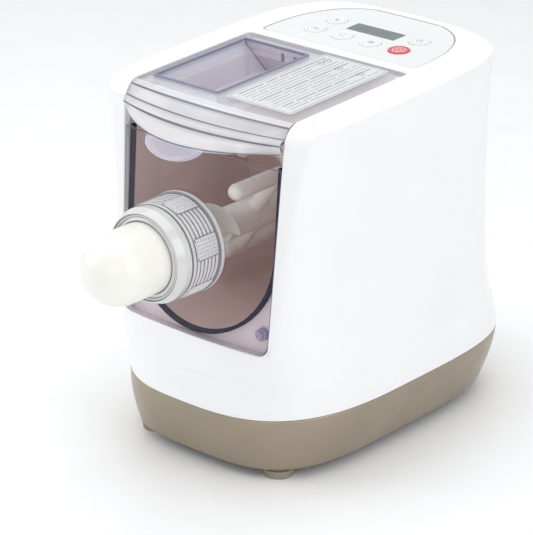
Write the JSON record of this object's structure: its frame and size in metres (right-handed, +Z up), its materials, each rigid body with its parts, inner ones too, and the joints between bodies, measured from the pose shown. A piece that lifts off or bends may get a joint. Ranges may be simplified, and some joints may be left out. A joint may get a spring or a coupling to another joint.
{
  "type": "electric pasta maker",
  "caption": "Counter-top pasta maker: rounded white housing on a champagne base, clear kneading tub with paddle, screw-on extrusion nozzle, hinged clear lid with pour tray and button panel.",
  "frame": {"origin": "on the ground under the middle of the whole machine's width and length, at the height of the feet's undersides", "axes": "+Z up; the nozzle points along -Y; +X is on the right of a person facing the front"},
  "size_m": [0.2202, 0.406, 0.2999],
  "materials": {
    "white_housing": "glossy white plastic",
    "champagne_base": "satin metallic champagne plastic",
    "dark_plastic": "moulded, fine grained",
    "foot_rubber": "soft, pale grey",
    "sheet_steel": "bare sheet",
    "tinted_tub": "clear, smoky pink tint",
    "bay_white": "smooth white plastic",
    "navy_seal": "soft silicone, dark navy",
    "lilac_plastic": "smooth lilac plastic",
    "dark_seal": "soft, dark",
    "panel_white": "glossy white film",
    "display": "grey-green display window",
    "display_module": "moulded carrier",
    "board_green": "coated circuit board",
    "black_plastic": "moulded, fine grained",
    "ribbon_grey": "flat cable",
    "mixed_parts": "moulded component cases",
    "lead_brown": "insulated wire",
    "lead_red": "insulated wire",
    "cast_case": "die cast",
    "turned_steel": "ground",
    "motor_can": "drawn steel, grey paint",
    "winding": "varnished copper windings",
    "screw_steel": "zinc plated",
    "button_white": "smooth white plastic",
    "button_red": "smooth red plastic",
    "clear_lid": "clear, faint lilac tint",
    "label_film": "frosted film",
    "bright_collar": "bright plated",
    "red_seal": "soft silicone",
    "cap_white": "warm white plastic",
    "die_plastic": "smooth white plastic",
    "gear_plastic": "moulded acetal",
    "rotor_steel": "laminated steel with windings",
    "pinion_brass": "cut brass"
  },
  "bodies": {
    "base_unit": {"body_shell": "white_housing", "top_cover": "white_housing", "base_shell": "champagne_base", "bottom_plate": "dark_plastic", "feet": "foot_rubber", "chassis": "sheet_steel", "mixing_tub": "tinted_tub", "bay_frame": "bay_white", "tub_gasket": "navy_seal", "plate_pegs": "lilac_plastic", "shaft_seal": "dark_seal", "control_panel": "panel_white", "lcd_window": "display", "lcd_module": "display_module", "control_board": "board_green", "tact_switches": "black_plastic", "panel_ribbon": "ribbon_grey", "lid_switch": "black_plastic", "power_board": "board_green", "board_components": "mixed_parts", "mains_inlet": "black_plastic", "mains_leads": "lead_brown", "motor_leads": "lead_red", "gearbox_cover": "cast_case", "gearbox_housing": "cast_case", "idler_axle": "turned_steel", "shaft_bearings": "turned_steel", "motor_housing": "motor_can", "motor_stator": "winding", "motor_bearings": "turned_steel", "housing_screws": "screw_steel", "gearbox_screws": "screw_steel"},
    "lid": {"lid": "clear_lid", "pour_tray": "clear_lid", "lid_label": "label_film", "lid_hinge_pins": "turned_steel"},
    "plate": {"front_plate": "clear_lid"},
    "nozzle": {"nozzle_collar": "bright_collar", "collar_seal": "red_seal", "die_cap": "cap_white", "die_plate": "die_plastic"},
    "nut": {"lock_nut": "clear_lid"},
    "key_1": {"button_1": "button_white"},
    "key_2": {"button_2": "button_white"},
    "key_3": {"button_3": "button_white"},
    "key_4": {"button_4": "button_white"},
    "key_5": {"button_5": "button_white"},
    "power_key": {"power_button": "button_red"},
    "mixing_drive": {"drive_shaft": "turned_steel", "auger": "cap_white", "mixing_paddle": "cap_white", "output_gear": "gear_plastic"},
    "idler": {"idler_gear": "gear_plastic"},
    "motor": {"motor_rotor": "rotor_steel", "motor_pinion": "pinion_brass", "cooling_fan": "dark_plastic"}
  },
  "joints": [
    {"name": "lid_hinge", "type": "hinge", "parent": "base_unit", "child": "lid", "pos_m": [0, 0.05867, 0.29074], "axis": [-1, 0, 0], "range_deg": [0, 85]},
    {"name": "plate_slide", "type": "slide", "parent": "base_unit", "child": "plate", "axis": [0, -1, 0], "range_m": [0, 0.05]},
    {"name": "nozzle_travel", "type": "slide", "parent": "plate", "child": "nozzle", "axis": [0, -1, 0], "range_m": [0, 0.009]},
    {"name": "nut_turn", "type": "hinge", "parent": "nozzle", "child": "nut", "pos_m": [0, -0.1145, 0.1868], "axis": [0, -1, 0], "range_deg": [0, 540]},
    {"name": "key_1_press", "type": "slide", "parent": "base_unit", "child": "key_1", "axis": [0, 0.0359, -0.9994], "range_m": [0, 0.0008], "stiffness_N_per_m": 600, "springref_m": -0.0003},
    {"name": "key_2_press", "type": "slide", "parent": "base_unit", "child": "key_2", "axis": [0, 0.0359, -0.9994], "range_m": [0, 0.0008], "stiffness_N_per_m": 600, "springref_m": -0.0003},
    {"name": "key_3_press", "type": "slide", "parent": "base_unit", "child": "key_3", "axis": [0, 0.0359, -0.9994], "range_m": [0, 0.0008], "stiffness_N_per_m": 600, "springref_m": -0.0003},
    {"name": "key_4_press", "type": "slide", "parent": "base_unit", "child": "key_4", "axis": [0, 0.0359, -0.9994], "range_m": [0, 0.0008], "stiffness_N_per_m": 600, "springref_m": -0.0003},
    {"name": "key_5_press", "type": "slide", "parent": "base_unit", "child": "key_5", "axis": [0, 0.0359, -0.9994], "range_m": [0, 0.0008], "stiffness_N_per_m": 600, "springref_m": -0.0003},
    {"name": "power_key_press", "type": "slide", "parent": "base_unit", "child": "power_key", "axis": [0, 0.0359, -0.9994], "range_m": [0, 0.0008], "stiffness_N_per_m": 600, "springref_m": -0.0003},
    {"name": "mixer_spin", "type": "hinge", "parent": "base_unit", "child": "mixing_drive", "pos_m": [0, 0.0335, 0.1868], "axis": [0, 1, 0], "continuous": true},
    {"name": "idler_spin", "type": "hinge", "parent": "base_unit", "child": "idler", "pos_m": [0.028, 0.085, 0.13373], "axis": [0, 1, 0], "continuous": true},
    {"name": "motor_spin", "type": "hinge", "parent": "base_unit", "child": "motor", "pos_m": [0, 0.14, 0.09851], "axis": [0, 1, 0], "continuous": true}
  ],
  "couplings": [
    {"joint": "nozzle_travel", "follows": "nut_turn", "m_per_rad": 0.00095},
    {"joint": "idler_spin", "follows": "mixer_spin", "ratio": -3.2857},
    {"joint": "motor_spin", "follows": "mixer_spin", "ratio": 12.486}
  ]
}
